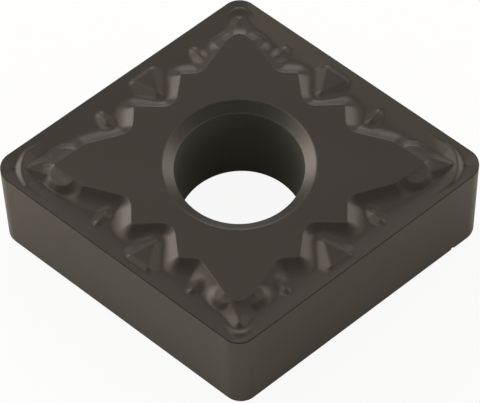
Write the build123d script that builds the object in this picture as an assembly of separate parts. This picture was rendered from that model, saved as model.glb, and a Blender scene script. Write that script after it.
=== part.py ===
from build123d import *

import os
from math import atan2, cos, degrees, radians, sin, tan

# One solid: a negative rhombic indexable insert, pressed and sintered in one piece.
# The origin is the centre of the lower seat, +Z runs along the bore and +X along the long diagonal.
# Lengths are millimetres and angles are degrees.

# Blank
inscribed_circle = 12.7
corner_angle = 80.0
nose_radius = 0.8
thickness = 4.76  # from a cutting edge to the seat of the other face
seat_rise = 0.13  # the seats stand this far proud of the cutting edges
edge_hone_radius = 0.04

# Clamping bore
bore_diameter = 5.16
bore_mouth_diameter = 6.10
bore_mouth_depth = 0.32

# Groove that runs behind every cutting edge: a rake, an easier run-out and a level floor
rake_angle = 13.0
rake_width = 0.58
run_out_angle = 6.6
run_out_width = 0.52
groove_corner_radius = 0.10
foot_overlap = 0.03  # the raised forms reach this far under the groove's floor

# Star-shaped seat, with arms that end at these insets from the cutting edges
acute_arm_inset = 1.70
obtuse_arm_inset = 1.50
seat_wall_slope = 36.0
tooth_tip_radius = 0.10
acute_tip_radius = 0.06
obtuse_tip_radius = 0.36
pocket_foot_radius = 0.08

# Pockets between the teeth, each by its inner corner as a station along the cutting edge from
# its middle, towards the acute corner, and an inset from it, and by the bearings of its walls
acute_pocket_station = 2.26
acute_pocket_inset = 2.45
acute_arm_bearing = -17.5
acute_pocket_tooth_bearing = 94.0
middle_pocket_station = 0.22
middle_pocket_inset = 2.65
middle_pocket_tooth_bearing = 98.0
obtuse_pocket_station = -1.64
obtuse_pocket_inset = 2.07
obtuse_arm_bearing = 122.0

# Islands in the pockets
island_top = 0.01
island_slope = 22.0
island_outer_inset = 0.57
island_inner_inset = 1.54
island_station = 0.18
island_lean = 0.06
island_width = 0.78
ridge_top = -0.06
ridge_width = 0.06
ridge_slope = 26.0
acute_ridge_station = 2.62
obtuse_ridge_station = -2.19
ridge_outer_inset = 0.86
ridge_inner_inset = 1.36

# Shelves beside the arms
shelf_top = -0.03
shelf_slope = 28.0
acute_shelf_station = 5.04
acute_shelf_inset = 1.57
acute_shelf_length = 1.10
acute_shelf_width = 0.80
obtuse_shelf_station = -3.36
obtuse_shelf_inset = 1.38
obtuse_shelf_length = 0.80
obtuse_shelf_width = 0.50

# Ribs ahead of the arm tips
rib_top = -0.02
rib_slope = 24.0
rib_tip_radius = 0.10
acute_rib_reach = 1.15
acute_rib_width = 0.70
obtuse_rib_reach = 0.72
obtuse_rib_width = 0.58

# Curved ridge behind each nose
crest_top = -0.02
crest_outer_slope = 25.0
crest_inner_slope = 22.0
crest_arc = 60.0
acute_crest_inset = 0.85
acute_crest_radius = 1.48
obtuse_crest_inset = 0.58
obtuse_crest_radius = 0.58

corner_tolerance = 1e-4  # corners closer than this to a point are taken to lie at it

edge_reach = inscribed_circle / 2
edge_bearing = radians(90 - corner_angle / 2)
rake_depth = rake_width * tan(radians(rake_angle))
groove_width = rake_width + run_out_width
groove_depth = rake_depth + run_out_width * tan(radians(run_out_angle))
sunk = -groove_depth - foot_overlap


def plan_point(station, inset):
    """Plan point in the first quadrant, by station along the cutting edge and inset from it."""
    reach = edge_reach - inset
    x = reach * cos(edge_bearing) + station * sin(edge_bearing)
    y = reach * sin(edge_bearing) - station * cos(edge_bearing)
    return Vector(x, y)


def acute_tip(inset):
    """Corner of the rhombus inset from the cutting edges, on the long diagonal."""
    return Vector((edge_reach - inset) / cos(edge_bearing), 0)


def obtuse_tip(inset):
    """Corner of the rhombus inset from the cutting edges, on the short diagonal."""
    return Vector(0, (edge_reach - inset) / sin(edge_bearing))


def wall_end(corner, bearing, inset):
    """Where a wall that leaves a corner on a bearing meets the line inset from the cutting edge."""
    heading = Vector(cos(radians(bearing)), sin(radians(bearing)))
    outward = Vector(cos(edge_bearing), sin(edge_bearing))
    return corner + heading * ((edge_reach - inset - corner.dot(outward)) / heading.dot(outward))


def tooth_tip(pocket, bearing, next_pocket):
    """Where a wall that leaves a pocket on a bearing meets the level wall of the next pocket."""
    run = (next_pocket.Y - pocket.Y) / tan(radians(bearing))
    return Vector(pocket.X + run, next_pocket.Y)


def mirrored(points):
    """The same plan points in all four quadrants."""
    return [Vector(i * p.X, j * p.Y) for p in points for i in (1, -1) for j in (1, -1)]


def closed_outline(quadrant):
    """Closed plan outline from its first-quadrant points, which run from one diagonal to the other."""
    upper = quadrant + [Vector(-p.X, p.Y) for p in reversed(quadrant[:-1])]
    lower = [Vector(p.X, -p.Y) for p in reversed(upper[1:-1])]
    return Polygon(*[tuple(p) for p in upper + lower], align=None)


def same_corner(vertex, point):
    """Whether a vertex of an outline lies at a plan point."""
    return (Vector(*vertex) - point).length < corner_tolerance


def rounded(outline, points, radius):
    """Rounds the corners of a plan outline that lie at the given points."""
    picked = [v for v in outline.vertices() if any(same_corner(v, p) for p in points)]
    return fillet(picked, radius)


def rhombus(inset, radius):
    """Plan of the blank inset from its cutting edges."""
    return fillet(closed_outline([acute_tip(inset), obtuse_tip(inset)]).vertices(), radius)


def seat_outline():
    """Plan of the star-shaped seat at its full height."""
    acute_pocket = plan_point(acute_pocket_station, acute_pocket_inset)
    middle_pocket = plan_point(middle_pocket_station, middle_pocket_inset)
    obtuse_pocket = plan_point(obtuse_pocket_station, obtuse_pocket_inset)
    acute_end = acute_tip(acute_arm_inset)
    obtuse_end = obtuse_tip(obtuse_arm_inset)
    acute_tooth = tooth_tip(acute_pocket, acute_pocket_tooth_bearing, middle_pocket)
    obtuse_tooth = tooth_tip(middle_pocket, middle_pocket_tooth_bearing, obtuse_pocket)
    outline = closed_outline(
        [
            acute_end,
            wall_end(acute_pocket, acute_arm_bearing, acute_arm_inset),
            acute_pocket,
            acute_tooth,
            middle_pocket,
            obtuse_tooth,
            obtuse_pocket,
            wall_end(obtuse_pocket, obtuse_arm_bearing, obtuse_arm_inset),
            obtuse_end,
        ]
    )
    wall_run = (seat_rise - sunk) / tan(radians(seat_wall_slope))
    pockets = mirrored([acute_pocket, middle_pocket, obtuse_pocket])
    outline = rounded(outline, pockets, pocket_foot_radius + wall_run)
    outline = rounded(outline, mirrored([acute_tooth, obtuse_tooth]), tooth_tip_radius)
    outline = rounded(outline, mirrored([acute_end]), acute_tip_radius)
    return rounded(outline, mirrored([obtuse_end]), obtuse_tip_radius)


def drafted(outline, top, slope):
    """Solid whose walls fall from a plan outline at the given height, at a slope from the level."""
    block = extrude(Pos(0, 0, sunk) * outline, top - sunk)
    return draft(block.faces().filter_by(Axis.Z, reverse=True), Plane.XY.offset(top), 90 - slope)


def groove():
    """Cutter for the groove: it falls from the cutting edges, eases and leaves its floor level."""
    rim = rhombus(0, nose_radius)
    rake_foot = Pos(0, 0, -rake_depth) * rhombus(rake_width, nose_radius - rake_width)
    floor = Pos(0, 0, -groove_depth) * rhombus(groove_width, groove_corner_radius)
    rake = loft([rim.face(), rake_foot.face()], ruled=True)
    return rake + loft([rake_foot.face(), floor.face()], ruled=True)


def all_quadrants(feature):
    """A first-quadrant feature and its mirror images across both diagonals."""
    pair = [feature, mirror(feature, Plane.YZ)]
    return pair + [mirror(f, Plane.XZ) for f in pair]


def island():
    """Triangular island of the middle pocket, with its long side along the cutting edge."""
    half = island_width / 2
    corners = [
        plan_point(island_station - half, island_outer_inset),
        plan_point(island_station + island_lean, island_inner_inset),
        plan_point(island_station + half, island_outer_inset),
    ]
    return drafted(Polygon(*[tuple(p) for p in corners], align=None), island_top, island_slope)


def ridge(station):
    """Roof-shaped ridge that runs in from the cutting edge."""
    middle = plan_point(station, (ridge_outer_inset + ridge_inner_inset) / 2)
    length = ridge_inner_inset - ridge_outer_inset
    outline = Pos(middle) * Rot(0, 0, degrees(edge_bearing)) * Rectangle(length, ridge_width)
    return drafted(outline, ridge_top, ridge_slope)


def shelf(station, inset, length, width):
    """Round-ended shelf beside an arm of the seat, along the cutting edge."""
    along_edge = Rot(0, 0, degrees(edge_bearing) - 90)
    outline = Pos(plan_point(station, inset)) * along_edge * SlotOverall(length, width)
    return drafted(outline, shelf_top, shelf_slope)


def acute_shelf():
    """Shelf beside the arm that points to the acute corner."""
    size = (acute_shelf_length, acute_shelf_width)
    return shelf(acute_shelf_station, acute_shelf_inset, *size)


def obtuse_shelf():
    """Shelf beside the arm that points to the obtuse corner."""
    size = (obtuse_shelf_length, obtuse_shelf_width)
    return shelf(obtuse_shelf_station, obtuse_shelf_inset, *size)


def rib(tip, reach, width):
    """Arrowhead rib that carries on from the tip of an arm, towards the nose."""
    half = width / 2
    bearing = degrees(atan2(tip.Y, tip.X))
    root = [(0, half), (-width, half), (-width, -half), (0, -half)]
    outline = Polygon(*root, (reach, 0), align=None)
    outline = rounded(outline, [Vector(reach, 0)], rib_tip_radius)
    return drafted(Pos(tip) * Rot(0, 0, bearing) * outline, rib_top, rib_slope)


def crest(nose, radius):
    """Curved ridge across a corner, with its crest through the given point."""
    outer_run = (crest_top - sunk) / tan(radians(crest_outer_slope))
    inner_run = (crest_top - sunk) / tan(radians(crest_inner_slope))
    foot = [(radius - inner_run, sunk), (radius + outer_run, sunk)]
    profile = Polygon(*foot, (radius, crest_top), align=None)
    swept = revolve(Plane.XZ * profile, Axis.Z, crest_arc)
    bearing = degrees(atan2(nose.Y, nose.X))
    return Pos(nose - nose.normalized() * radius) * Rot(0, 0, bearing - crest_arc / 2) * swept


def raised_forms():
    """Everything that stands up from the groove of one face."""
    forms = [drafted(seat_outline(), seat_rise, seat_wall_slope)]
    forms += all_quadrants(island())
    forms += all_quadrants(ridge(acute_ridge_station))
    forms += all_quadrants(ridge(obtuse_ridge_station))
    forms += all_quadrants(acute_shelf())
    forms += all_quadrants(obtuse_shelf())
    acute_forms = [rib(acute_tip(acute_arm_inset), acute_rib_reach, acute_rib_width)]
    acute_forms += [crest(acute_tip(acute_crest_inset), acute_crest_radius)]
    obtuse_forms = [rib(obtuse_tip(obtuse_arm_inset), obtuse_rib_reach, obtuse_rib_width)]
    obtuse_forms += [crest(obtuse_tip(obtuse_crest_inset), obtuse_crest_radius)]
    for form in acute_forms:
        forms += [form, mirror(form, Plane.YZ)]
    for form in obtuse_forms:
        forms += [form, mirror(form, Plane.XZ)]
    return forms


def bore():
    """Cutter for the clamping bore and the bevelled mouth at both seats."""
    low = 0
    high = thickness + seat_rise
    radius = bore_diameter / 2
    mouth = bore_mouth_diameter / 2
    profile = Polygon(
        (0, low),
        (mouth, low),
        (radius, low + bore_mouth_depth),
        (radius, high - bore_mouth_depth),
        (mouth, high),
        (0, high),
        align=None,
    )
    return revolve(Plane.XZ * profile, Axis.Z)


def honed(grooved):
    """Rounds the cutting edges all round both faces."""
    levels = grooved.edges().group_by(Axis.Z)
    return fillet(levels[0] + levels[-1], edge_hone_radius)


def insert():
    """The whole insert: blank, grooves, raised forms on both faces and the bore."""
    blank = extrude(Pos(0, 0, seat_rise) * rhombus(0, nose_radius), thickness - seat_rise)
    middle = Plane.XY.offset((thickness + seat_rise) / 2)
    upper_groove = Pos(0, 0, thickness) * groove()
    upper_forms = [Pos(0, 0, thickness) * form for form in raised_forms()]
    body = honed(blank - [upper_groove, mirror(upper_groove, middle)])
    body = body + upper_forms + [mirror(form, middle) for form in upper_forms]
    return body - bore()


os.makedirs("parts", exist_ok=True)
export_step(insert().solid(), "parts/insert_body.step")
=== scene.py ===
from math import cos, pi, radians, sin, tan
from types import SimpleNamespace

import bmesh
import bpy
import numpy as np
from mathutils import Matrix, Vector


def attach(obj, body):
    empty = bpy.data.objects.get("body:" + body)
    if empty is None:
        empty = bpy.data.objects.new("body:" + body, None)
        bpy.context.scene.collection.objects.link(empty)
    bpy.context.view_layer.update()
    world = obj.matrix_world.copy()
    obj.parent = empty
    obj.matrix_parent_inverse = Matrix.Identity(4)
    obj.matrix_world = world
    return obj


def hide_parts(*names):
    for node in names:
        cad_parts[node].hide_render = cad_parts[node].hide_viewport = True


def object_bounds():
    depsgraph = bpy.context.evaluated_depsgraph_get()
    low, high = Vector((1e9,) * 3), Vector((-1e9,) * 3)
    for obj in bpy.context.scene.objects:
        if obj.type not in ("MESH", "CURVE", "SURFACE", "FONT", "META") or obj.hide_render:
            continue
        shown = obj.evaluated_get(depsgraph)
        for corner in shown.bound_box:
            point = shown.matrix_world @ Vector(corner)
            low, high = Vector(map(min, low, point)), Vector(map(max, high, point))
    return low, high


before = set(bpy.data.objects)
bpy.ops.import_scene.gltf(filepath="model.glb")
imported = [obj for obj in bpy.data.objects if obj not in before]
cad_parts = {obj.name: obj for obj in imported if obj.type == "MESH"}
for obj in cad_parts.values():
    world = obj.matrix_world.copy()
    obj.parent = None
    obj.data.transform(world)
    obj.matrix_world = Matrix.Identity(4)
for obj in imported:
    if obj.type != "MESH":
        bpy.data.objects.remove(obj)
CAD_LOW, CAD_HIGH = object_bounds()

bl_info = {
    "name": "Carbide Insert",
    "version": (1, 0, 0),
    "blender": (4, 5, 0),
    "location": "View3D > Sidebar > Insert",
    "description": "Builds a rhombic indexable carbide insert with a moulded chipbreaker on both faces",
    "category": "Add Mesh",
}

MM = 0.001  # metres in a millimetre
HEIGHT = (CAD_HIGH.z - CAD_LOW.z) / MM
UP = Vector((0, 0, 1))

# Straight steps in the arcs of one quadrant
LONG_TIP_STEPS = 3
SHORT_TIP_STEPS = 6
TOOTH_STEPS = 4
POCKET_STEPS = 6
CREST_STEPS = 6
ACUTE_NOSE_STEPS = 20
OBTUSE_NOSE_STEPS = 16
MOUTH_STEPS = 40
HONE_STEPS = 5

# Meshing, in millimetres
MERGE = 1e-4  # points nearer than this are one
CUT_TOLERANCE = 1e-5
RIM_TOLERANCE = 1e-3  # how far a vertex of a rim may lie from its outline
SLOPE_REACH = 0.006  # slopes are taken over this distance to either side
OUTWARD_CUTS = (1.6, 8.4)  # where the cuts along the cutting edge start and end
ALONG_CUTS = (-7.0, 8.0)  # where the cuts square to it start and end
ROUNDS = 6  # most rounds of splitting
LONG_EDGE = 1.4  # an edge is split above this many fine pitches
BULGE_WEIGHT = 2  # weight of a turn in the middle of an edge against one between its ends
FACING_OUT = 0.99  # cosine above which a face is part of a flank
NICK_CUTS = 3  # faces within this many widths of the nick are cut
NICK_RISE, NICK_RETREAT = 0.8, 0.6  # how the chipped edge moves up and into the flank
LEAST_PUSH = 0.001  # share of the nick's depth below which a vertex stays

# Finish
CLOUD_NOISE = {"Detail": 3.0, "Roughness": 0.55}
GRAIN_NOISE = {"Detail": 2.0, "Roughness": 0.6}
CLOUD_ENDS = (0.3, 0.7)  # noise levels of the darker and the lighter tone of the coating
GRAIN_ENDS = (0.35, 0.65)  # and of the bevel
UNDER, OVER, RESULT = 6, 7, 2  # colour sockets of a Mix node

# Camera, in millimetres
EYE = Vector((1.65, -64.65, 104.68))
AIM = Vector((0.03, -1.682, 4.76))
ROLL = radians(-1.67)
LENS = 226.9
SENSOR = 36
NEAREST_SEEN = 0.001

# Floor, in metres
FLOOR_REACH = 1.5  # half of its side
FLOOR_GAP = 0.00001  # keeps the floor clear of the lower seat

# Soft lamps: name, power in watts, bearing from +X and height in degrees, and side in metres
LAMP_DISTANCE = 0.25
LAMPS = (
    ("left_low", 0.331, 150, 18, 0.13),
    ("left_high", 0.076, 175, 38, 0.13),
    ("left_upper", 0.207, 150, 50, 0.16),
    ("right_low", 0.201, 33, 18, 0.13),
    ("right_front", 0.087, 340, 15, 0.13),
    ("right_upper", 0.099, 30, 50, 0.16),
    ("back_low", 0.138, 90, 12, 0.13),
    ("top", 0.028, 90, 88, 0.16),
)


def length(name, description, default):
    """A length property, given in millimetres."""
    return bpy.props.FloatProperty(
        name=name, description=description, default=default * MM, unit="LENGTH", precision=5, step=0.01
    )


def angle(name, description, default):
    """An angle property, given in degrees."""
    return bpy.props.FloatProperty(
        name=name, description=description, default=radians(default), subtype="ANGLE"
    )


def amount(name, description, default):
    """A plain number property."""
    return bpy.props.FloatProperty(name=name, description=description, default=default, precision=3)


def colour(name, description, default):
    """A colour property, in linear light."""
    return bpy.props.FloatVectorProperty(
        name=name, description=description, default=default, size=3, min=0, max=1, subtype="COLOR"
    )


class InsertBlankSizes(bpy.types.PropertyGroup):
    """Sizes of the pressed blank and its bore."""

    inscribed_circle: length("Inscribed Circle", "Circle that touches the four flanks", 12.7)
    corner_angle: angle("Corner Angle", "Included angle of the two acute corners", 80)
    nose_radius: length("Nose Radius", "Radius of all four corners in plan", 0.8)
    plan_clearance: length("Plan Clearance", "How far the outline stays inside the solid's box", 0.0012)
    seat_rise: length("Seat Rise", "How far the seats stand proud of the cutting edges", 0.13)
    hone_radius: length("Hone Radius", "Rounding of the cutting edges", 0.04)
    bore_diameter: length("Bore", "Diameter of the clamping bore", 5.16)
    mouth_diameter: length("Bore Mouth", "Diameter of the bevelled mouth", 6.10)
    mouth_depth: length("Mouth Depth", "Depth of the bevelled mouth", 0.32)
    mouth_rounding: length("Mouth Rounding", "Softness of the two edges of the bevelled mouth", 0.05)
    nick_station: length("Nick Station", "Place of the nick along its cutting edge", 5.82)
    nick_width: length("Nick Width", "Width of the nick in the lower cutting edge", 0.18)
    nick_depth: length("Nick Depth", "Depth of the nick in the lower cutting edge", 0.07)


class InsertGrooveSizes(bpy.types.PropertyGroup):
    """Sizes of the groove behind the cutting edges."""

    rake_angle: angle("Rake", "Slope of the rake behind the cutting edge", 13.2)
    rake_width: length("Rake Width", "Width of the straight part of the rake", 0.68)
    floor_start: length("Floor Start", "Inset at which the groove's floor is level", 1.26)
    form_foot: length("Form Foot", "Height over which a form blends into the floor", 0.05)
    form_crest: length("Form Crest", "Height over which a form's top is rounded", 0.03)


class InsertSeatSizes(bpy.types.PropertyGroup):
    """Sizes of the star-shaped seat: arms, teeth and the pockets between them."""

    acute_arm_inset: length("Long Arm Inset", "Inset of the tips of the long arms", 1.68)
    obtuse_arm_inset: length("Short Arm Inset", "Inset of the tips of the short arms", 1.49)
    wall_slope: angle("Wall Slope", "Slope of the star's walls", 33.6)
    wall_foot: length("Wall Foot", "Height over which a wall blends into the floor", 0.236)
    wall_crest: length("Wall Crest", "Height over which a wall blends into the seat", 0.010)
    pocket_radius: length("Pocket Radius", "Plan radius of the pockets' inner corners", 0.58)
    tooth_radius: length("Tooth Radius", "Plan radius of the teeth", 0.10)
    acute_tip_radius: length("Long Arm Radius", "Plan radius of the long arms' tips", 0.04)
    obtuse_tip_radius: length("Short Arm Radius", "Plan radius of the short arms' tips", 0.375)
    acute_pocket_station: length("Acute Pocket Station", "Station of the pocket by the long arm", 2.244)
    acute_pocket_inset: length("Acute Pocket Inset", "Inset of the pocket by the long arm", 2.453)
    middle_pocket_station: length("Middle Pocket Station", "Station of the middle pocket", 0.206)
    middle_pocket_inset: length("Middle Pocket Inset", "Inset of the middle pocket", 2.653)
    obtuse_pocket_station: length("Obtuse Pocket Station", "Station of the pocket by the short arm", -1.637)
    obtuse_pocket_inset: length("Obtuse Pocket Inset", "Inset of the pocket by the short arm", 2.054)
    acute_arm_bearing: angle("Long Arm Bearing", "Bearing of the long arm's wall", -16.9)
    acute_tooth_bearing: angle("Acute Tooth Bearing", "Bearing of the acute pocket's tooth wall", 91.4)
    middle_arm_bearing: angle("Middle Wall Bearing", "Bearing of the middle pocket's acute wall", 2.4)
    middle_tooth_bearing: angle("Middle Tooth Bearing", "Bearing of the middle pocket's other wall", 96.8)
    obtuse_tooth_bearing: angle("Obtuse Tooth Bearing", "Bearing of the obtuse pocket's tooth wall", -2.3)
    obtuse_arm_bearing: angle("Short Arm Bearing", "Bearing of the short arm's wall", 122.1)


class InsertIslandSizes(bpy.types.PropertyGroup):
    """Sizes of the islands and ridges in the pockets."""

    island_station: length("Island Station", "Station of the triangular islands", 0.161)
    island_width: length("Island Width", "Length of an island's outer side", 0.85)
    island_lean: length("Island Lean", "Shift of an island's inner corner along the edge", 0.09)
    island_outer_inset: length("Island Outer Inset", "Inset of an island's outer side", 0.537)
    island_inner_inset: length("Island Inner Inset", "Inset of an island's inner corner", 1.54)
    island_top: length("Island Top", "Height of the islands against the cutting edge", 0.0)
    island_slope: angle("Island Slope", "Slope of the islands' sides", 22.5)
    acute_ridge_station: length("Acute Ridge Station", "Station of the acute pockets' ridges", 2.612)
    obtuse_ridge_station: length("Obtuse Ridge Station", "Station of the obtuse pockets' ridges", -2.208)
    acute_ridge_top: length("Acute Ridge Top", "Height of the acute pockets' ridges", -0.0735)
    obtuse_ridge_top: length("Obtuse Ridge Top", "Height of the obtuse pockets' ridges", -0.07)
    ridge_outer_inset: length("Ridge Outer Inset", "Inset of a ridge's end at the cutting edge", 0.934)
    ridge_inner_inset: length("Ridge Inner Inset", "Inset of a ridge's inner end", 1.236)
    ridge_corner_slope: angle("Ridge Corner Slope", "Slope of a ridge on the side of the corner", 26.9)
    ridge_tooth_slope: angle("Ridge Tooth Slope", "Slope of a ridge on the side of the tooth", 28.1)
    ridge_end_slope: angle("Ridge End Slope", "Slope of a ridge's two ends", 17.4)


class InsertArmSizes(bpy.types.PropertyGroup):
    """Sizes of the shelves beside the arms and of the ribs ahead of them."""

    acute_shelf_station: length("Long Arm Shelf Station", "Station of the long arms' shelves", 5.069)
    acute_shelf_inset: length("Long Arm Shelf Inset", "Inset of the long arms' shelves", 1.591)
    acute_shelf_length: length("Long Arm Shelf Length", "Length of the long arms' shelves", 1.049)
    acute_shelf_width: length("Long Arm Shelf Width", "Width of the long arms' shelves", 0.90)
    acute_shelf_top: length("Long Arm Shelf Top", "Height of the long arms' shelves", -0.017)
    obtuse_shelf_station: length("Short Arm Shelf Station", "Station of the short arms' shelves", -3.375)
    obtuse_shelf_inset: length("Short Arm Shelf Inset", "Inset of the short arms' shelves", 1.402)
    obtuse_shelf_length: length("Short Arm Shelf Length", "Length of the short arms' shelves", 0.7625)
    obtuse_shelf_width: length("Short Arm Shelf Width", "Width of the short arms' shelves", 0.526)
    obtuse_shelf_top: length("Short Arm Shelf Top", "Height of the short arms' shelves", -0.037)
    shelf_slope: angle("Shelf Slope", "Slope of the shelves' sides", 32.3)
    acute_rib_reach: length("Acute Rib Reach", "Length of the long arms' ribs", 1.069)
    acute_rib_width: length("Acute Rib Width", "Width of the long arms' ribs", 0.894)
    acute_rib_top: length("Acute Rib Top", "Height of the long arms' ribs", -0.024)
    acute_rib_slope: angle("Acute Rib Slope", "Slope of the long arms' ribs", 26.4)
    obtuse_rib_reach: length("Obtuse Rib Reach", "Length of the short arms' ribs", 0.748)
    obtuse_rib_width: length("Obtuse Rib Width", "Width of the short arms' ribs", 0.565)
    obtuse_rib_top: length("Obtuse Rib Top", "Height of the short arms' ribs", -0.015)
    obtuse_rib_slope: angle("Obtuse Rib Slope", "Slope of the short arms' ribs", 23.3)


class InsertCrestSizes(bpy.types.PropertyGroup):
    """Sizes of the crests that curve round behind the noses."""

    acute_crest_setback: length("Acute Crest Setback", "From the sharp corner to the crest", 1.286)
    acute_crest_radius: length("Acute Crest Radius", "Plan radius of the crest", 1.506)
    acute_crest_half_arc: angle("Acute Crest Half Arc", "Half of the crest's arc", 32.0)
    acute_crest_tail: length("Acute Crest Tail", "Length of the crest's tails", 0.925)
    acute_crest_top: length("Acute Crest Top", "Height of the crest", -0.001)
    acute_crest_outer_slope: angle("Acute Crest Outer Slope", "Slope towards the nose", 31.5)
    acute_crest_inner_slope: angle("Acute Crest Inner Slope", "Slope away from the nose", 23.5)
    obtuse_crest_setback: length("Obtuse Crest Setback", "From the sharp corner to the crest", 0.6725)
    obtuse_crest_radius: length("Obtuse Crest Radius", "Plan radius of the crest", 0.516)
    obtuse_crest_half_arc: angle("Obtuse Crest Half Arc", "Half of the crest's arc", 32.1)
    obtuse_crest_tail: length("Obtuse Crest Tail", "Length of the crest's tails", 0.562)
    obtuse_crest_top: length("Obtuse Crest Top", "Height of the crest", -0.029)
    obtuse_crest_outer_slope: angle("Obtuse Crest Outer Slope", "Slope towards the nose", 26.2)
    obtuse_crest_inner_slope: angle("Obtuse Crest Inner Slope", "Slope away from the nose", 22.2)
    crest_tail_drop: length("Crest Tail Drop", "How far the crests' tails sink", 0.10)
    crest_tail_lead: length("Crest Tail Lead", "How far before its bend a crest starts to sink", 0.20)


class InsertMeshSizes(bpy.types.PropertyGroup):
    """How finely the relief is cut."""

    coarse_pitch: length("Coarse Pitch", "Spacing of the first cuts through the face", 0.28)
    fine_pitch: length("Fine Pitch", "Shortest edge that is still split", 0.040)
    turn: amount("Turn", "Change of slope along an edge above which it is split", 0.07)


class InsertFinish(bpy.types.PropertyGroup):
    """Colours and gloss of the coated carbide."""

    coating_dark: colour("Coating Dark", "Darker tone of the coating", (0.0365, 0.0302, 0.0255))
    coating_light: colour("Coating Light", "Lighter tone of the coating", (0.0415, 0.0348, 0.0298))
    mouth_dark: colour("Mouth Dark", "Darker tone of the bevel", (0.020, 0.018, 0.014))
    mouth_light: colour("Mouth Light", "Lighter tone of the bevel", (0.039, 0.035, 0.029))
    bore_wall: colour("Bore Wall", "Tone of the thin coating in the bore", (0.090, 0.087, 0.068))
    # painted shade: the hone is coloured almost black to stand in for the dark reflections along the rounded
    # cutting edges
    hone_painted_shade: colour("Hone Tone", "Dark tone of the honed cutting edge", (0.010, 0.009, 0.0075))
    sheen: colour("Sheen", "Tint of the coating's reflections", (1.0, 0.84, 0.72))
    roughness: amount("Roughness", "Roughness of the coating", 0.37)
    roughness_spread: amount("Roughness Spread", "How far the grain moves the roughness", 0.04)
    index: amount("Index", "Refractive index of the coating", 1.41)
    mouth_index: amount("Mouth Index", "Refractive index of the bevel", 1.50)
    cloud_scale: amount("Cloud Scale", "Clouds of tone in a metre", 260)
    grain_scale: amount("Grain Scale", "Grains of the sintered surface in a metre", 22000)
    grain_strength: amount("Grain Strength", "Strength of the grain's relief", 0.08)
    grain_depth: length("Grain Depth", "Depth of the grain's relief", 0.01)


class InsertStageSettings(bpy.types.PropertyGroup):
    """Floor, world and lamps."""

    backdrop: colour("Backdrop", "Colour of the floor", (0.90, 0.83, 0.735))
    backdrop_glow: amount("Backdrop Glow", "Share of plain white that the camera sees in the floor", 0.92)
    ambient: amount("Ambient", "Strength of the even light all round", 0.235)


def in_millimetres(*groups):
    """The numbers of property groups, with lengths in millimetres and angles in radians."""
    values = {}
    for group in groups:
        for prop in group.bl_rna.properties:
            if prop.type == "FLOAT" and not prop.is_array:
                scale = 1 / MM if prop.unit == "LENGTH" else 1
                values[prop.identifier] = getattr(group, prop.identifier) * scale
    return SimpleNamespace(**values)


# Surface of one face


def smooth_max(a, b, blend):
    """The higher of two surfaces, with a fillet between them."""
    overlap = np.maximum(blend - np.abs(a - b), 0)
    return np.maximum(a, b) + overlap * overlap / (4 * blend)


def smooth_min(a, b, blend):
    """The lower of two surfaces, with a rounded edge between them."""
    return -smooth_max(-a, -b, blend)


def fade(value, start, end):
    """0 before start, 1 after end and a smooth step between them."""
    t = np.clip((value - start) / (end - start), 0, 1)
    return t * t * (3 - 2 * t)


def unit(vector):
    """A plan vector at length 1."""
    return vector / np.hypot(*vector)


def towards(bearing):
    """Plan vector of length 1 on a bearing."""
    return np.array([cos(bearing), sin(bearing)])


def rounded_corner(before, corner, after, radius, steps):
    """Points of the arc that rounds a corner of an outline."""
    a, b = unit(before - corner), unit(after - corner)
    half = np.arccos(np.clip(a @ b, -1, 1)) / 2
    centre = corner + unit(a + b) * (radius / sin(half))
    start = corner + a * (radius / tan(half)) - centre
    end = corner + b * (radius / tan(half)) - centre
    sweep = np.arctan2(start[0] * end[1] - start[1] * end[0], start @ end)
    across = np.array([-start[1], start[0]])
    turns = [sweep * i / steps for i in range(steps + 1)]
    return [centre + start * cos(turn) + across * sin(turn) for turn in turns]


def side_distance(x, y, a, b):
    """Distance of points from the straight side between two plan points."""
    side = b - a
    share = np.clip(((x - a[0]) * side[0] + (y - a[1]) * side[1]) / (side @ side), 0, 1)
    return np.hypot(x - a[0] - share * side[0], y - a[1] - share * side[1])


def outline_distance(x, y, outline):
    """Distance of points from a closed outline, negative inside it."""
    nearest = np.full(x.shape, np.inf)
    inside = np.zeros(x.shape, bool)
    for a, b in zip(outline, outline[1:] + outline[:1]):
        nearest = np.minimum(nearest, side_distance(x, y, a, b))
        if a[1] != b[1]:
            inside ^= ((a[1] > y) != (b[1] > y)) & (x < a[0] + (y - a[1]) * (b[0] - a[0]) / (b[1] - a[1]))
    return np.where(inside, -nearest, nearest)


def raised(distance, top, slope, crest):
    """A form with a level top whose sides fall with distance outside its outline."""
    return smooth_min(top + 0 * distance, top - tan(slope) * distance, crest)


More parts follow.
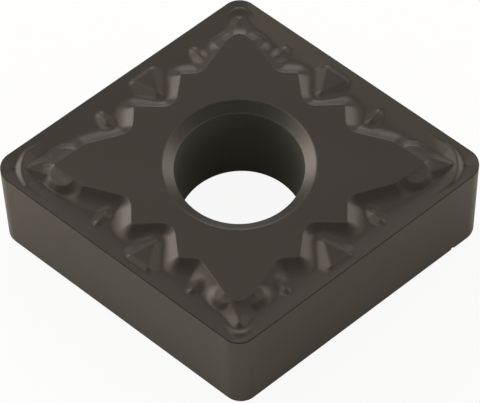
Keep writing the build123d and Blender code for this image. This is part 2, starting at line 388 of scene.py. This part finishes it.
class Relief:
    """Height of one face above the plane of its cutting edges, in millimetres, from its named sizes."""

    def __init__(self, sizes):
        s = self.sizes = sizes
        self.reach = s.inscribed_circle / 2 - s.plan_clearance
        self.bearing = pi / 2 - s.corner_angle / 2
        self.outward = towards(self.bearing)
        self.along = towards(self.bearing - pi / 2)
        self.acute_centre = np.array([(self.reach - s.nose_radius) / self.outward[0], 0])
        self.obtuse_centre = np.array([0, (self.reach - s.nose_radius) / self.outward[1]])
        self.star = self.star_outline()
        self.island_outline = self.triangle()
        self.ribs = [
            self.arrowhead(self.acute_tip(s.acute_arm_inset), s.acute_rib_reach, s.acute_rib_width),
            self.arrowhead(self.obtuse_tip(s.obtuse_arm_inset), s.obtuse_rib_reach, s.obtuse_rib_width),
        ]

    def point(self, station, inset):
        """Plan point by its station along the cutting edge and its inset from it."""
        return self.outward * (self.reach - inset) + self.along * station

    def acute_tip(self, inset):
        """Corner of the rhombus inset from the cutting edges, on the long diagonal."""
        return np.array([(self.reach - inset) / self.outward[0], 0.0])

    def obtuse_tip(self, inset):
        """Corner of the rhombus inset from the cutting edges, on the short diagonal."""
        return np.array([0.0, (self.reach - inset) / self.outward[1]])

    def wall_end(self, corner, bearing, inset):
        """Where a wall that leaves a corner on a bearing meets the line inset from the cutting edge."""
        heading = towards(bearing)
        return corner + heading * ((self.reach - inset - corner @ self.outward) / (heading @ self.outward))

    def crossing(self, corner, bearing, other, other_bearing):
        """Where the walls that leave two corners cross."""
        heading, other_heading = towards(bearing), towards(other_bearing)
        runs = np.linalg.solve(np.array([heading, -other_heading]).T, other - corner)
        return corner + heading * runs[0]

    def edge_frame(self, x, y):
        """Station along the cutting edge and inset from it."""
        station = x * self.along[0] + y * self.along[1]
        return station, self.reach - x * self.outward[0] - y * self.outward[1]

    def inset(self, x, y):
        """Inset of points from the outline, round the noses as well."""
        radius = self.sizes.nose_radius
        past_acute = x - self.acute_centre[0]
        past_obtuse = y - self.obtuse_centre[1]
        at_acute = (past_acute > 0) & (y < past_acute * tan(self.bearing))
        at_obtuse = (past_obtuse > 0) & (x < past_obtuse / tan(self.bearing))
        straight = self.edge_frame(x, y)[1]
        beside_acute = np.where(at_acute, radius - np.hypot(past_acute, y), straight)
        return np.where(at_obtuse, radius - np.hypot(x, past_obtuse), beside_acute)

    def star_outline(self):
        """Outline of the star-shaped seat in the first quadrant, closed through the middle of the seat."""
        s = self.sizes
        acute_pocket = self.point(s.acute_pocket_station, s.acute_pocket_inset)
        middle_pocket = self.point(s.middle_pocket_station, s.middle_pocket_inset)
        obtuse_pocket = self.point(s.obtuse_pocket_station, s.obtuse_pocket_inset)
        acute_end = self.wall_end(acute_pocket, s.acute_arm_bearing, s.acute_arm_inset)
        obtuse_end = self.wall_end(obtuse_pocket, s.obtuse_arm_bearing, s.obtuse_arm_inset)
        acute_tooth = self.crossing(acute_pocket, s.acute_tooth_bearing, middle_pocket, s.middle_arm_bearing)
        obtuse_tooth = self.crossing(
            middle_pocket, s.middle_tooth_bearing, obtuse_pocket, s.obtuse_tooth_bearing
        )
        corners = [
            (acute_end * (1, -1), 0, 0),
            (self.acute_tip(s.acute_arm_inset), s.acute_tip_radius, LONG_TIP_STEPS),
            (acute_end, 0, 0),
            (acute_pocket, s.pocket_radius, POCKET_STEPS),
            (acute_tooth, s.tooth_radius, TOOTH_STEPS),
            (middle_pocket, s.pocket_radius, POCKET_STEPS),
            (obtuse_tooth, s.tooth_radius, TOOTH_STEPS),
            (obtuse_pocket, s.pocket_radius, POCKET_STEPS),
            (obtuse_end, 0, 0),
            (self.obtuse_tip(s.obtuse_arm_inset), s.obtuse_tip_radius, SHORT_TIP_STEPS),
            (obtuse_end * (-1, 1), 0, 0),
        ]
        outline = [acute_pocket * (1, -1), corners[0][0]]
        for (before, _, _), (corner, radius, steps), (after, _, _) in zip(
            corners, corners[1:], corners[2:]
        ):
            if radius:
                outline += rounded_corner(before, corner, after, radius, steps)
            else:
                outline.append(corner)
        return outline + [corners[-1][0], obtuse_pocket * (-1, 1), -self.outward]

    def triangle(self):
        """Outline of the triangular island in the middle pocket."""
        s = self.sizes
        return [
            self.point(s.island_station - s.island_width / 2, s.island_outer_inset),
            self.point(s.island_station + s.island_lean, s.island_inner_inset),
            self.point(s.island_station + s.island_width / 2, s.island_outer_inset),
        ]

    def arrowhead(self, tip, reach, width):
        """Outline of the arrowhead rib ahead of the tip of an arm."""
        heading = unit(tip)
        across = np.array([-heading[1], heading[0]]) * width / 2
        root = tip - heading * width
        return [root + across, root - across, tip - across, tip + heading * reach, tip + across]

    def rake(self, inset):
        """The rake falls straight from the cutting edge and eases into the level floor."""
        s = self.sizes
        span = s.floor_start - s.rake_width
        ease = np.clip(inset - s.rake_width, 0, span)
        return -tan(s.rake_angle) * (np.minimum(inset, s.rake_width) + ease - ease * ease / (2 * span))

    def rounded_fall(self, top, fall):
        """A form that falls away from its crest line, with the crest rounded over."""
        rounding = self.sizes.form_crest / 2
        return top - np.sqrt(fall * fall + rounding * rounding) + rounding

    def ridge(self, x, y, station, top, corner_side):
        """Roof-shaped ridge that runs in from the cutting edge."""
        s = self.sizes
        along, inset = self.edge_frame(x, y)
        across = (along - station) * corner_side
        fall = np.where(across > 0, across * tan(s.ridge_corner_slope), -across * tan(s.ridge_tooth_slope))
        beyond = np.maximum(np.maximum(s.ridge_outer_inset - inset, inset - s.ridge_inner_inset), 0)
        return self.rounded_fall(top, np.hypot(fall, beyond * tan(s.ridge_end_slope)))

    def shelf(self, x, y, station, inset, length, width, top):
        """Round-ended shelf beside an arm."""
        along, across = self.edge_frame(x, y)
        beyond = np.maximum(np.abs(along - station) - (length - width) / 2, 0)
        distance = np.hypot(beyond, across - inset) - width / 2
        return raised(distance, top, self.sizes.shelf_slope, self.sizes.form_crest)

    def crest(self, x, y, nose, onward, sizes):
        """Curved ridge behind a nose, whose tails run along the cutting edges and fade out."""
        radius, half_arc, tail, top, outer_slope, inner_slope = sizes
        heading = unit(nose)
        side = np.array([heading[1], heading[0]])
        centre = nose - heading * radius
        turns = [half_arc * i / CREST_STEPS for i in range(CREST_STEPS + 1)]
        line = [centre + radius * (heading * cos(turn) + side * sin(turn)) for turn in turns]
        bend = line[-1]
        line.append(bend + onward * tail)
        line.insert(0, line[1] - 2 * side * (line[1] @ side))
        nearest = np.min([side_distance(x, y, a, b) for a, b in zip(line, line[1:])], axis=0)
        forward = (x - bend[0]) * onward[0] + (y - bend[1]) * onward[1]
        inset = self.edge_frame(x, y)[1]
        behind_tail = inset > self.edge_frame(*line[-1])[1]
        within = np.where(forward > 0, behind_tail, np.hypot(x - centre[0], y - centre[1]) < radius)
        slope = np.where(within, tan(inner_slope), tan(outer_slope))
        sunk = self.sizes.crest_tail_drop * fade(forward, -self.sizes.crest_tail_lead, tail)
        return self.rounded_fall(top - sunk, nearest * slope)

    def pocket_forms(self, x, y):
        """Heights of the island and the ridges in the pockets."""
        s = self.sizes
        distance = outline_distance(x, y, self.island_outline)
        yield raised(distance, s.island_top, s.island_slope, s.form_crest)
        yield self.ridge(x, y, s.acute_ridge_station, s.acute_ridge_top, 1)
        yield self.ridge(x, y, s.obtuse_ridge_station, s.obtuse_ridge_top, -1)

    def arm_forms(self, x, y):
        """Heights of the shelves beside the arms and of the ribs ahead of them."""
        s = self.sizes
        acute = (s.acute_shelf_station, s.acute_shelf_inset, s.acute_shelf_length, s.acute_shelf_width)
        obtuse = (s.obtuse_shelf_station, s.obtuse_shelf_inset, s.obtuse_shelf_length, s.obtuse_shelf_width)
        yield self.shelf(x, y, *acute, s.acute_shelf_top)
        yield self.shelf(x, y, *obtuse, s.obtuse_shelf_top)
        shapes = ((s.acute_rib_top, s.acute_rib_slope), (s.obtuse_rib_top, s.obtuse_rib_slope))
        for outline, (top, slope) in zip(self.ribs, shapes):
            yield raised(outline_distance(x, y, outline), top, slope, s.form_crest)

    def crests(self, x, y):
        """Heights of the crests behind the acute and the obtuse nose."""
        s = self.sizes
        acute_arc = (s.acute_crest_radius, s.acute_crest_half_arc, s.acute_crest_tail)
        acute = (*acute_arc, s.acute_crest_top, s.acute_crest_outer_slope, s.acute_crest_inner_slope)
        obtuse_arc = (s.obtuse_crest_radius, s.obtuse_crest_half_arc, s.obtuse_crest_tail)
        obtuse = (*obtuse_arc, s.obtuse_crest_top, s.obtuse_crest_outer_slope, s.obtuse_crest_inner_slope)
        yield self.crest(x, y, self.acute_tip(0) - (s.acute_crest_setback, 0), -self.along, acute)
        yield self.crest(x, y, self.obtuse_tip(0) - (0, s.obtuse_crest_setback), self.along, obtuse)

    def height(self, x, y):
        """Height of the whole face at plan points in any quadrant."""
        x, y = np.abs(x), np.abs(y)
        s = self.sizes
        z = self.rake(self.inset(x, y))
        for form in (*self.pocket_forms(x, y), *self.arm_forms(x, y), *self.crests(x, y)):
            z = smooth_max(z, form, s.form_foot)
        seat = raised(outline_distance(x, y, self.star), s.seat_rise, s.wall_slope, s.wall_crest)
        return np.minimum(smooth_max(z, seat, s.wall_foot), s.seat_rise)

    def slope(self, x, y):
        """Slopes of the face along X and Y."""
        reach = SLOPE_REACH
        along_x = (self.height(x + reach, y) - self.height(x - reach, y)) / (2 * reach)
        along_y = (self.height(x, y + reach) - self.height(x, y - reach)) / (2 * reach)
        return along_x, along_y


# Mesh of the body


def flat(point, z=0.0):
    """A plan vector as a vector in space."""
    return Vector((point[0], point[1], z))


def chain_from(first, wanted):
    """Vertices of an open chain of edges, in order from one of its ends."""
    chain = [first]
    while True:
        onward = [e.other_vert(chain[-1]) for e in chain[-1].link_edges if wanted(e)]
        onward = [v for v in onward if v not in chain[-2:]]
        if not onward:
            return chain
        chain.append(onward[0])


def swept_arc(bm, start, centre, sweep, steps):
    """Spins a point into an arc and returns the arc's vertices in order."""
    first = bm.verts.new(flat(start))
    bmesh.ops.spin(
        bm, geom=[first], cent=flat(centre), axis=UP, angle=sweep, steps=steps, use_duplicate=False
    )
    return chain_from(first, lambda edge: True)


def quadrant_face(bm, relief):
    """One quadrant of a face as a flat polygon between the bore's mouth and the honed edge."""
    s = relief.sizes
    nose = s.nose_radius - s.hone_radius
    mouth = s.mouth_diameter / 2 + s.mouth_rounding
    acute_start = relief.acute_centre + (nose, 0)
    obtuse_start = relief.obtuse_centre + relief.outward * nose
    loop = swept_arc(bm, acute_start, relief.acute_centre, relief.bearing, ACUTE_NOSE_STEPS)
    loop += swept_arc(bm, obtuse_start, relief.obtuse_centre, pi / 2 - relief.bearing, OBTUSE_NOSE_STEPS)
    loop += swept_arc(bm, (0, mouth), (0, 0), -pi / 2, MOUTH_STEPS)
    for a, b in zip(loop, loop[1:] + loop[:1]):
        if not any(b in e.verts for e in a.link_edges):
            bm.edges.new((a, b))
    bmesh.ops.edgeloop_fill(bm, edges=bm.edges[:])


def cut_lattice(bm, relief):
    """Cuts the face along lines parallel and square to the cutting edge."""
    pitch = relief.sizes.coarse_pitch
    for direction, (first, last) in ((relief.outward, OUTWARD_CUTS), (relief.along, ALONG_CUTS)):
        normal = flat(direction)
        for i in range(int((last - first) / pitch)):
            geom = bm.verts[:] + bm.edges[:] + bm.faces[:]
            place = normal * (first + i * pitch)
            bmesh.ops.bisect_plane(bm, geom=geom, dist=MERGE, plane_co=place, plane_no=normal)


def turning_edges(bm, relief):
    """Inner edges along which the relief turns more than it should."""
    s = relief.sizes
    bm.verts.index_update()
    edges = [e for e in bm.edges if not e.is_boundary]
    points = np.array([v.co for v in bm.verts])
    a, b = np.array([(e.verts[0].index, e.verts[1].index) for e in edges]).T
    middles = (points[a] + points[b]) / 2
    slopes = np.array(relief.slope(points[:, 0], points[:, 1]))
    middle_slopes = np.array(relief.slope(middles[:, 0], middles[:, 1]))
    turn = np.hypot(*(slopes[:, a] - slopes[:, b]))
    bulge = np.hypot(*(middle_slopes - (slopes[:, a] + slopes[:, b]) / 2))
    span = np.linalg.norm(points[a] - points[b], axis=1)
    chosen = (span > s.fine_pitch * LONG_EDGE) & (np.maximum(turn, BULGE_WEIGHT * bulge) > s.turn)
    return [e for e, split in zip(edges, chosen) if split]


def refine(bm, relief):
    """Splits the edges over which the relief turns, until they are short enough."""
    bmesh.ops.triangulate(bm, faces=bm.faces[:])
    for _ in range(ROUNDS):
        split = turning_edges(bm, relief)
        if not split:
            break
        bmesh.ops.subdivide_edges(bm, edges=split, cuts=1)
        bmesh.ops.triangulate(bm, faces=[f for f in bm.faces if len(f.verts) > 3])
        bmesh.ops.beautify_fill(bm, faces=bm.faces[:], edges=[e for e in bm.edges if not e.is_boundary])


def raise_relief(bm, relief, facing):
    """Lifts every vertex of the flat face onto the relief and notes which way it faces."""
    points = np.array([v.co for v in bm.verts])
    heights = relief.height(points[:, 0], points[:, 1])
    slopes_x, slopes_y = relief.slope(points[:, 0], points[:, 1])
    for v, height, slope_x, slope_y in zip(bm.verts, heights, slopes_x, slopes_y):
        v.co.z = height
        v[facing] = Vector((-slope_x, -slope_y, 1)).normalized()


def boundary_chain(bm, wanted):
    """Boundary vertices that pass a test, in order from the +X diagonal."""
    chosen = {v for v in bm.verts if v.is_boundary and wanted(v)}
    first = min(chosen, key=lambda v: (v.co.y, -v.co.x))
    return chain_from(first, lambda e: e.is_boundary and chosen.issuperset(e.verts))


def extruded(bm, chain, places, facing):
    """Extrudes a chain of vertices to the given places, each with the way it faces."""
    edges = [e for a, b in zip(chain, chain[1:]) for e in a.link_edges if b in e.verts]
    made = bmesh.ops.extrude_edge_only(bm, edges=edges)["geom"]
    new = {v for v in made if isinstance(v, bmesh.types.BMVert)}
    copies = [next(e.other_vert(v) for e in v.link_edges if e.other_vert(v) in new) for v in chain]
    for copy, (place, normal) in zip(copies, places):
        copy.co = place
        copy[facing] = normal
    return copies


def outline_normal(relief, co):
    """Outward direction of the outline nearest to a point of its edge."""
    from_acute = np.array(co.xy) - relief.acute_centre
    from_obtuse = np.array(co.xy) - relief.obtuse_centre
    if from_acute[0] > 0 and from_acute[1] < from_acute[0] * tan(relief.bearing):
        return flat(unit(from_acute))
    if from_obtuse[1] > 0 and from_obtuse[0] < from_obtuse[1] / tan(relief.bearing):
        return flat(unit(from_obtuse))
    return flat(relief.outward)


def hone_and_flank(bm, relief, rim, middle, facing, honed):
    """Rounds the cutting edge over and takes the flank down to the middle of the insert."""
    s = relief.sizes
    starts = [(v.co.copy(), outline_normal(relief, v.co)) for v in rim]
    for step in range(1, HONE_STEPS + 1):
        tilt = (pi / 2 + s.rake_angle) * step / HONE_STEPS - s.rake_angle
        drop = s.hone_radius * (cos(s.rake_angle) - cos(tilt))
        reach = s.hone_radius * (sin(tilt) + sin(s.rake_angle)) / (1 + sin(s.rake_angle))
        places = [
            (base + out * reach - UP * drop, out * sin(tilt) + UP * cos(tilt)) for base, out in starts
        ]
        rim = extruded(bm, rim, places, facing)
        # the hone's inner rings are marked so that the finish paints shade on them
        for v in rim:
            v[honed] = 0 if step == HONE_STEPS else 1
    extruded(bm, rim, [(flat(v.co, middle), v[facing].copy()) for v in rim], facing)


def mouth_and_bore(bm, relief, rim, middle, facing):
    """Takes the bevelled mouth and the bore down to the middle of the insert."""
    s = relief.sizes
    mouth, bore, soft = s.mouth_diameter / 2, s.bore_diameter / 2, s.mouth_rounding
    fall = s.mouth_depth / (mouth - bore)
    bevel = np.arctan(fall)
    foot = s.seat_rise - s.mouth_depth
    # Shares of the rounding: drop at the mouth, start and end of the bevel, and turn into the bore
    mouth_drop, bevel_start, bevel_end, turn_reach, turn_drop = 0.28, 0.9, 0.6, 0.15, 0.25
    # Rings from the seat to the middle, each by its radius, its height and how far it leans inwards
    rings = (
        (mouth, s.seat_rise - soft * fall * mouth_drop, bevel / 2),
        (mouth - soft * bevel_start, s.seat_rise - soft * fall * bevel_start, bevel),
        (bore + soft * bevel_end, foot + soft * fall * bevel_end, bevel),
        (bore + soft * turn_reach, foot - soft * turn_drop, (bevel + pi / 2) / 2),
        (bore, foot - soft, pi / 2),
        (bore, middle, pi / 2),
    )
    for radius, height, lean in rings:
        outs = [flat(v.co).normalized() for v in rim]
        places = [(flat(out * radius, height), flat(out * -sin(lean), cos(lean))) for out in outs]
        rim = extruded(bm, rim, places, facing)


def mirror_all(bm, middle, facing):
    """Mirrors the finished eighth of the insert into all four quadrants and onto the other face."""
    bmesh.ops.translate(bm, verts=bm.verts[:], vec=-UP * middle)
    for axis in "XYZ":
        geom = bm.verts[:] + bm.edges[:] + bm.faces[:]
        bmesh.ops.mirror(bm, geom=geom, axis=axis, merge_dist=MERGE)
    bmesh.ops.remove_doubles(bm, verts=bm.verts[:], dist=MERGE)
    bmesh.ops.recalc_face_normals(bm, faces=bm.faces[:])
    for v in bm.verts:
        signs = [0 if abs(c) < MERGE else 1 if c > 0 else -1 for c in v.co]
        v[facing] = Vector([n * sign for n, sign in zip(v[facing], signs)])
    bmesh.ops.translate(bm, verts=bm.verts[:], vec=UP * middle)


def cut_round_nick(bm, centre, outward, along, sizes):
    """Cuts the faces about the nick and the flank above it, so that the nick has vertices to move."""
    half, depth = sizes.nick_width / 2, sizes.nick_depth
    cuts = [(centre + along * half * i / 2, along) for i in range(-2, 3)]
    cuts += [(centre + UP * depth * i, UP) for i in (1, 2)]
    cuts += [(centre - outward * depth * i, outward) for i in (1, 2)]
    for place, normal in cuts:
        faces = []
        for f in bm.faces:
            on_flank = abs(f.normal.dot(outward)) > FACING_OUT and f.calc_center_median().z < HEIGHT / 2
            if on_flank or any((v.co - centre).length < NICK_CUTS * sizes.nick_width for v in f.verts):
                faces.append(f)
        geom = list({e for f in faces for e in (*f.verts, *f.edges, f)})
        bmesh.ops.bisect_plane(bm, geom=geom, dist=CUT_TOLERANCE, plane_co=place, plane_no=normal)
    bm.normal_update()


def nick_lower_edge(bm, relief, facing):
    """Chips the lower cutting edge of the flank between the +X and -Y corners."""
    s = relief.sizes
    outward, along = flat(relief.outward * (1, -1)), flat(relief.along * (1, -1))
    centre = outward * relief.reach + along * s.nick_station + UP * s.seat_rise
    cut_round_nick(bm, centre, outward, along, s)
    half, fade_out = s.nick_width / 2, 2 * s.nick_depth
    push = (UP * NICK_RISE - outward * NICK_RETREAT) * s.nick_depth
    chipped = []
    for v in bm.verts:
        away = v.co - centre
        sideways = max(0, 1 - abs(away.dot(along)) / half)
        upwards = max(0, 1 - abs(away.z) / fade_out)
        inwards = max(0, 1 + away.dot(outward) / fade_out)
        if sideways * upwards * inwards > LEAST_PUSH:
            v.co += push * sideways**0.5 * upwards * inwards
            chipped.append(v)
    bm.normal_update()
    for v in chipped:
        v[facing] = v.normal


def body_mesh(sizes):
    """Mesh of the whole insert, with the way every vertex faces and how far it is honed, which masks the
    painted shade on the hone.
    """
    relief = Relief(sizes)
    edge_plane = HEIGHT - sizes.seat_rise
    middle = HEIGHT / 2 - edge_plane
    hone, mouth_rim = sizes.hone_radius, sizes.mouth_diameter / 2 + sizes.mouth_rounding
    bm = bmesh.new()
    bm.verts.layers.float_vector.new("facing")
    honed = bm.verts.layers.float.new("honed")
    facing = bm.verts.layers.float_vector["facing"]
    quadrant_face(bm, relief)
    cut_lattice(bm, relief)
    refine(bm, relief)
    raise_relief(bm, relief, facing)
    rim = boundary_chain(bm, lambda v: relief.inset(*np.abs(v.co.xy)) < hone + RIM_TOLERANCE)
    mouth = boundary_chain(bm, lambda v: v.co.xy.length < mouth_rim + RIM_TOLERANCE)
    hone_and_flank(bm, relief, rim, middle, facing, honed)
    mouth_and_bore(bm, relief, mouth, middle, facing)
    mirror_all(bm, middle, facing)
    bmesh.ops.translate(bm, verts=bm.verts[:], vec=UP * edge_plane)
    nick_lower_edge(bm, relief, facing)
    bmesh.ops.triangulate(bm, faces=[f for f in bm.faces if len(f.verts) > 4])
    bmesh.ops.scale(bm, verts=bm.verts[:], vec=(MM, MM, MM))
    return bm


# Finish


def node(tree, kind, **values):
    """Adds a node and sets its properties and unlinked inputs."""
    made = tree.nodes.new(kind)
    for key, value in values.items():
        if key in made.inputs:
            made.inputs[key].default_value = value
        else:
            setattr(made, key, value)
    return made


def link(tree, source, output, target, socket):
    """Links an output of one node to an input of another."""
    tree.links.new(source.outputs[output], target.inputs[socket])


def ramp(tree, source, ends, low, high):
    """Runs a colour ramp between two colours over a noise."""
    made = node(tree, "ShaderNodeValToRGB")
    for element, position, tone in zip(made.color_ramp.elements, ends, (low, high)):
        element.position = position
        element.color = (*tone, 1)
    link(tree, source, "Fac", made, "Fac")
    return made.outputs["Color"]


def step_mask(tree, radius, start, end):
    """0 at one distance from the bore's axis and 1 at another, with a smooth step between."""
    mask = node(tree, "ShaderNodeMapRange", interpolation_type="SMOOTHSTEP")
    mask.inputs["From Min"].default_value = start
    mask.inputs["From Max"].default_value = end
    link(tree, radius, "Value", mask, "Value")
    return mask


def bore_masks(tree, place, blank):
    """Masks of the bevelled mouth and of the bore, by the distance from the bore's axis."""
    bore, mouth, soft = blank.bore_diameter / 2, blank.mouth_diameter / 2, blank.mouth_rounding
    plan = node(tree, "ShaderNodeVectorMath", operation="MULTIPLY")
    plan.inputs[1].default_value = (1, 1, 0)
    radius = node(tree, "ShaderNodeVectorMath", operation="LENGTH")
    bevel = node(tree, "ShaderNodeMath", operation="MULTIPLY")
    link(tree, place, "Object", plan, "Vector")
    link(tree, plan, "Vector", radius, "Vector")
    link(tree, step_mask(tree, radius, bore, bore + soft), "Result", bevel, 0)
    link(tree, step_mask(tree, radius, mouth + soft, mouth - soft), "Result", bevel, 1)
    return bevel.outputs["Value"], step_mask(tree, radius, bore + soft, bore).outputs["Result"]


def overlaid(tree, under, mask, over):
    """A tone with another one laid over it where the mask is 1."""
    mix = node(tree, "ShaderNodeMix", data_type="RGBA")
    tree.links.new(mask, mix.inputs["Factor"])
    tree.links.new(under, mix.inputs[UNDER])
    if isinstance(over, bpy.types.NodeSocket):
        tree.links.new(over, mix.inputs[OVER])
    else:
        mix.inputs[OVER].default_value = (*over, 1)
    return mix.outputs[RESULT]


def spread(tree, source, low, high, target):
    """Spreads a value from 0 to 1 between two numbers and gives it to a socket."""
    made = node(tree, "ShaderNodeMapRange")
    made.inputs["To Min"].default_value = low
    made.inputs["To Max"].default_value = high
    tree.links.new(source, made.inputs["Value"])
    link(tree, made, "Result", *target)


def carbide_coating(finish, blank):
    """Satin dark coating over sintered carbide, glossier on the bevel and thinner in the bore, with painted
    shade along the honed edges.
    """
    material = bpy.data.materials.new("carbide_coating")
    material.use_nodes = True
    tree = material.node_tree
    tree.nodes.clear()
    place = node(tree, "ShaderNodeTexCoord")
    cloud = node(tree, "ShaderNodeTexNoise", Scale=finish.cloud_scale, **CLOUD_NOISE)
    grain = node(tree, "ShaderNodeTexNoise", Scale=finish.grain_scale, **GRAIN_NOISE)
    link(tree, place, "Object", cloud, "Vector")
    link(tree, place, "Object", grain, "Vector")
    bevel, bore = bore_masks(tree, place, blank)
    # mask of the hone, where the coating gets painted shade
    hone = node(tree, "ShaderNodeAttribute", attribute_name="honed").outputs["Fac"]
    tone = ramp(tree, cloud, CLOUD_ENDS, finish.coating_dark, finish.coating_light)
    mouth = ramp(tree, grain, GRAIN_ENDS, finish.mouth_dark, finish.mouth_light)
    # the bevel's grain tone, the bore's tone, and painted shade that darkens the hone
    for mask, over in ((bevel, mouth), (bore, finish.bore_wall), (hone, finish.hone_painted_shade)):
        tone = overlaid(tree, tone, mask, over)
    shader = node(tree, "ShaderNodeBsdfPrincipled", Metallic=0.0)
    shader.inputs["Specular Tint"].default_value = (*finish.sheen, 1)
    tree.links.new(tone, shader.inputs["Base Color"])
    spread(tree, bevel, finish.index, finish.mouth_index, (shader, "IOR"))
    low, high = finish.roughness - finish.roughness_spread, finish.roughness + finish.roughness_spread
    spread(tree, grain.outputs["Fac"], low, high, (shader, "Roughness"))
    bump = node(tree, "ShaderNodeBump", Strength=finish.grain_strength, Distance=finish.grain_depth)
    link(tree, grain, "Fac", bump, "Height")
    link(tree, bump, "Normal", shader, "Normal")
    link(tree, shader, "BSDF", node(tree, "ShaderNodeOutputMaterial"), "Surface")
    return material


# Operators


class INSERT_OT_body(bpy.types.Operator):
    """Build the carbide insert with its chipbreaker on both faces"""

    bl_idname = "insert_parts.body"
    bl_label = "Insert Body"

    def execute(self, context):
        scene = context.scene
        bm = body_mesh(in_millimetres(*[getattr(scene, name) for name in SIZE_GROUPS]))
        mesh = bpy.data.meshes.new("insert")
        bm.to_mesh(mesh)
        bm.free()
        if not mesh.polygons:
            raise RuntimeError("the insert has no faces")
        body = bpy.data.objects.new("insert", mesh)
        scene.collection.objects.link(body)
        mesh.polygons.foreach_set("use_smooth", [True] * len(mesh.polygons))
        facing = np.zeros(len(mesh.vertices) * 3, np.float32)
        mesh.attributes["facing"].data.foreach_get("vector", facing)
        mesh.attributes.remove(mesh.attributes["facing"])
        mesh.normals_split_custom_set_from_vertices(facing.reshape(-1, 3).tolist())
        mesh.materials.append(carbide_coating(scene.insert_finish, scene.insert_blank))
        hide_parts("insert_body")
        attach(body, "root")
        return {"FINISHED"}


class INSERT_OT_stage(bpy.types.Operator):
    """Set up the floor, the lamps, the world and the camera"""

    bl_idname = "insert_parts.stage"
    bl_label = "Stage"

    def execute(self, context):
        settings = context.scene.insert_stage
        context.scene.view_settings.view_transform = "Standard"
        self.floor(context, settings)
        self.world(context, settings)
        for lamp in LAMPS:
            self.lamp(context, *lamp)
        self.camera(context)
        if not context.scene.camera:
            raise RuntimeError("the stage has no camera")
        return {"FINISHED"}

    def floor(self, context, settings):
        """Adds the floor under the insert."""
        bm = bmesh.new()
        bmesh.ops.create_grid(bm, x_segments=1, y_segments=1, size=FLOOR_REACH)
        mesh = bpy.data.meshes.new("floor")
        bm.to_mesh(mesh)
        bm.free()
        floor = bpy.data.objects.new("floor", mesh)
        floor.location.z = -FLOOR_GAP
        context.scene.collection.objects.link(floor)
        mesh.materials.append(self.pale_floor(settings))
        return floor

    def pale_floor(self, settings):
        """Matt floor that the camera sees as a white backdrop with the insert's shadow."""
        material = bpy.data.materials.new("pale_floor")
        material.use_nodes = True
        tree = material.node_tree
        tree.nodes.clear()
        output = node(tree, "ShaderNodeOutputMaterial")
        matt = node(tree, "ShaderNodeBsdfDiffuse", Color=(*settings.backdrop, 1))
        white = node(tree, "ShaderNodeEmission", Strength=1.0)
        rays = node(tree, "ShaderNodeLightPath")
        share = node(tree, "ShaderNodeMath", operation="MULTIPLY")
        share.inputs[1].default_value = settings.backdrop_glow
        mix = node(tree, "ShaderNodeMixShader")
        link(tree, rays, "Is Camera Ray", share, 0)
        link(tree, share, "Value", mix, "Fac")
        link(tree, matt, "BSDF", mix, 1)
        link(tree, white, "Emission", mix, 2)
        link(tree, mix, "Shader", output, "Surface")
        return material

    def world(self, context, settings):
        """Sets an even light all round."""
        world = bpy.data.worlds.new("studio")
        context.scene.world = world
        world.use_nodes = True
        back = world.node_tree.nodes["Background"]
        back.inputs["Color"].default_value = (1, 1, 1, 1)
        back.inputs["Strength"].default_value = settings.ambient

    def lamp(self, context, name, watts, bearing, height, size):
        """Adds a square soft lamp that faces the insert."""
        data = bpy.data.lights.new(name, "AREA")
        data.size = size
        data.energy = watts
        lamp = bpy.data.objects.new(name, data)
        context.scene.collection.objects.link(lamp)
        level = towards(radians(bearing)) * cos(radians(height))
        away = flat(level, sin(radians(height)))
        lamp.location = away * LAMP_DISTANCE + UP * HEIGHT * MM
        lamp.rotation_euler = (-away).to_track_quat("-Z", "Y").to_euler()

    def camera(self, context):
        """Adds the camera above the front corner."""
        data = bpy.data.cameras.new("camera")
        camera = bpy.data.objects.new("camera", data)
        context.scene.collection.objects.link(camera)
        context.scene.camera = camera
        data.sensor_width = SENSOR
        data.lens = LENS
        data.clip_start = NEAREST_SEEN
        forward = (AIM - EYE).normalized()
        right = forward.cross(UP).normalized()
        level = Matrix((right, right.cross(forward), -forward)).transposed()
        turned = level @ Matrix.Rotation(ROLL, 3, "Z")
        camera.matrix_world = Matrix.Translation(EYE * MM) @ turned.to_4x4()


class INSERT_PT_panel(bpy.types.Panel):
    """Lists the insert's pieces and sizes"""

    bl_label = "Carbide Insert"
    bl_idname = "INSERT_PT_panel"
    bl_space_type = "VIEW_3D"
    bl_region_type = "UI"
    bl_category = "Insert"

    def draw(self, context):
        layout = self.layout
        layout.operator("insert_parts.body")
        layout.operator("insert_parts.stage")
        for name in GROUPS:
            box = layout.box()
            group = getattr(context.scene, name)
            for prop in group.bl_rna.properties:
                if prop.identifier not in ("rna_type", "name"):
                    box.prop(group, prop.identifier)


GROUPS = {
    "insert_blank": InsertBlankSizes,
    "insert_groove": InsertGrooveSizes,
    "insert_seat": InsertSeatSizes,
    "insert_islands": InsertIslandSizes,
    "insert_arms": InsertArmSizes,
    "insert_crests": InsertCrestSizes,
    "insert_mesh": InsertMeshSizes,
    "insert_finish": InsertFinish,
    "insert_stage": InsertStageSettings,
}
SIZE_GROUPS = [name for name in GROUPS if name not in ("insert_finish", "insert_stage")]
CLASSES = (*GROUPS.values(), INSERT_OT_body, INSERT_OT_stage, INSERT_PT_panel)


def register():
    """Registers the add-on's classes and hangs its settings on the scene."""
    for cls in CLASSES:
        bpy.utils.register_class(cls)
    for name, group in GROUPS.items():
        setattr(bpy.types.Scene, name, bpy.props.PointerProperty(type=group))


def unregister():
    """Takes the settings and the classes away again."""
    for name in GROUPS:
        delattr(bpy.types.Scene, name)
    for cls in reversed(CLASSES):
        bpy.utils.unregister_class(cls)


def main():
    """Builds the insert and its stage."""
    register()
    bpy.ops.insert_parts.body()
    bpy.ops.insert_parts.stage()


if __name__ == "__main__":
    main()
